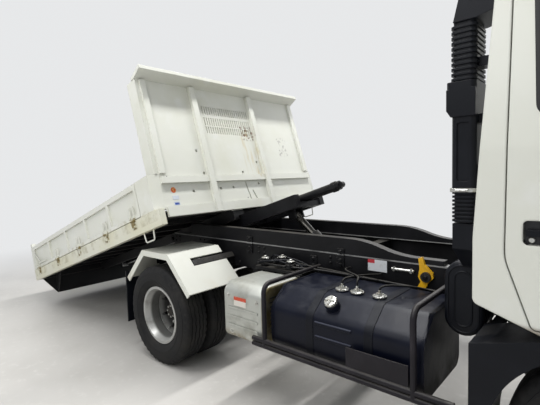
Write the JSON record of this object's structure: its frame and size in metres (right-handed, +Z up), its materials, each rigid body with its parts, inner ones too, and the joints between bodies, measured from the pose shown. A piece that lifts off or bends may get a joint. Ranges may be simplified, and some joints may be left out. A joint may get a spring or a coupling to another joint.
{
  "type": "dump truck with a sliding and tilting bed",
  "caption": "Cab-over dump truck: ladder frame on steered front and twin rear wheels, tilting cab with opening doors, and a bed that slides back and tilts, with hinged gates.",
  "frame": {"origin": "on the ground, midway between the tail and the nose", "axes": "+X to the front of the truck, +Z up, -Y to its right side"},
  "size_m": [6.7886, 2.59, 2.4482],
  "materials": {
    "black_steel": "satin",
    "white_paint": "gloss",
    "tyre": "matt",
    "rim_silver": "satin",
    "tank_blue_black": "gloss",
    "silver_cover": "brushed",
    "black_plastic": "grained",
    "clear_glass": "clear",
    "lamp_lens": "gloss",
    "yellow_paint": "gloss",
    "chrome_rod": "polished",
    "seat_fabric": "woven"
  },
  "bodies": {
    "chassis": {"frame_rail_right": "black_steel", "frame_rail_left": "black_steel", "subframe_right": "black_steel", "subframe_left": "black_steel", "crossmembers": "black_steel", "front_axle": "black_steel", "rear_axle": "black_steel", "leaf_springs": "black_steel", "powertrain": "black_steel", "fuel_tank": "tank_blue_black", "exhaust_box": "silver_cover", "valve_tray": "black_plastic", "side_guards": "black_steel", "air_cleaner": "black_plastic", "battery_box": "black_plastic", "rear_fenders": "white_paint", "fender_stays": "black_steel", "mudguards": "black_plastic", "underrun_bar": "black_steel", "bumper": "black_plastic", "lamps": "lamp_lens", "bed_lock": "yellow_paint", "tow_eyes": "black_steel"},
    "tilt_frame": {"tilt_frame": "black_steel", "slide_barrel": "black_steel"},
    "hoist_barrel": {"hoist_barrel": "black_steel"},
    "hoist_rod": {"hoist_rod": "chrome_rod"},
    "bed": {"bed_floor": "white_paint", "slide_rod": "chrome_rod", "headboard": "white_paint"},
    "gate_right": {"gate_right": "white_paint"},
    "gate_left": {"gate_left": "white_paint"},
    "tailgate": {"tailgate": "white_paint"},
    "cab": {"cab_shell": "white_paint", "front_panel": "white_paint", "cab_glass": "clear_glass", "seats": "seat_fabric", "dashboard": "black_plastic", "steering_wheel": "black_plastic", "mirrors": "black_plastic", "snorkel": "black_plastic"},
    "door_right": {"door_right": "white_paint", "door_glass_right": "clear_glass", "door_handle_right": "black_plastic"},
    "door_left": {"door_left": "white_paint", "door_glass_left": "clear_glass", "door_handle_left": "black_plastic"},
    "knuckle_right": {"knuckle_right": "black_steel"},
    "front_wheel_right": {"front_rim_right": "rim_silver", "front_tyre_right": "tyre"},
    "rear_wheels_right": {"rear_rims_right": "rim_silver", "rear_tyres_right": "tyre"},
    "knuckle_left": {"knuckle_left": "black_steel"},
    "front_wheel_left": {"front_rim_left": "rim_silver", "front_tyre_left": "tyre"},
    "rear_wheels_left": {"rear_rims_left": "rim_silver", "rear_tyres_left": "tyre"}
  },
  "joints": [
    {"name": "bed_tilt", "type": "hinge", "parent": "chassis", "child": "tilt_frame", "pos_m": [-0.85839, 0, 0.94361], "axis": [0, 1, 0], "range_deg": [-1.5, 17.2]},
    {"name": "bed_slide", "type": "slide", "parent": "tilt_frame", "child": "bed", "axis": [0.9553, 0, 0.2957], "range_m": [0, 1.8]},
    {"name": "hoist_swing", "type": "hinge", "parent": "chassis", "child": "hoist_barrel", "pos_m": [0.57428, 0, 0.72], "axis": [0, 1, 0], "range_deg": [-60, 60]},
    {"name": "hoist_rod_slide", "type": "slide", "parent": "hoist_barrel", "child": "hoist_rod", "axis": [-0.7576, 0, 0.6527], "range_m": [-0.2, 0.05]},
    {"name": "gate_right_hinge", "type": "hinge", "parent": "bed", "child": "gate_right", "pos_m": [-1.8823, -1.1, 0.83916], "axis": [0.9553, 0, 0.2957], "range_deg": [0, 170]},
    {"name": "gate_left_hinge", "type": "hinge", "parent": "bed", "child": "gate_left", "pos_m": [-1.8823, 1.1, 0.83916], "axis": [-0.9553, 0, -0.2957], "range_deg": [0, 170]},
    {"name": "tailgate_hinge", "type": "hinge", "parent": "bed", "child": "tailgate", "pos_m": [-3.36153, 0, 0.6974], "axis": [0, 1, 0], "range_deg": [0, 85]},
    {"name": "cab_tilt", "type": "hinge", "parent": "chassis", "child": "cab", "pos_m": [3.27428, 0, 0.93], "axis": [0, 1, 0], "range_deg": [0, 45]},
    {"name": "door_right_hinge", "type": "hinge", "parent": "cab", "child": "door_right", "pos_m": [2.91428, -1.04, 1.4], "axis": [0, 0, 1], "range_deg": [0, 65]},
    {"name": "door_left_hinge", "type": "hinge", "parent": "cab", "child": "door_left", "pos_m": [2.91428, 1.04, 1.4], "axis": [0, 0, -1], "range_deg": [0, 65]},
    {"name": "steer_right", "type": "hinge", "parent": "chassis", "child": "knuckle_right", "pos_m": [2.28428, -0.77, 0.4025], "axis": [0, 0, 1], "range_deg": [-35, 35]},
    {"name": "front_wheel_right_spin", "type": "hinge", "parent": "knuckle_right", "child": "front_wheel_right", "pos_m": [2.28428, -0.85, 0.4025], "axis": [0, 1, 0], "continuous": true},
    {"name": "rear_wheels_right_spin", "type": "hinge", "parent": "chassis", "child": "rear_wheels_right", "pos_m": [-0.57572, -0.83, 0.4025], "axis": [0, 1, 0], "continuous": true},
    {"name": "steer_left", "type": "hinge", "parent": "chassis", "child": "knuckle_left", "pos_m": [2.28428, 0.77, 0.4025], "axis": [0, 0, 1], "range_deg": [-35, 35]},
    {"name": "front_wheel_left_spin", "type": "hinge", "parent": "knuckle_left", "child": "front_wheel_left", "pos_m": [2.28428, 0.85, 0.4025], "axis": [0, 1, 0], "continuous": true},
    {"name": "rear_wheels_left_spin", "type": "hinge", "parent": "chassis", "child": "rear_wheels_left", "pos_m": [-0.57572, 0.83, 0.4025], "axis": [0, 1, 0], "continuous": true}
  ],
  "couplings": [
    {"joint": "hoist_swing", "follows": "bed_tilt", "ratio": -1.2988},
    {"joint": "hoist_rod_slide", "follows": "bed_tilt", "m_per_rad": -0.54271},
    {"joint": "steer_left", "follows": "steer_right", "ratio": 1}
  ]
}
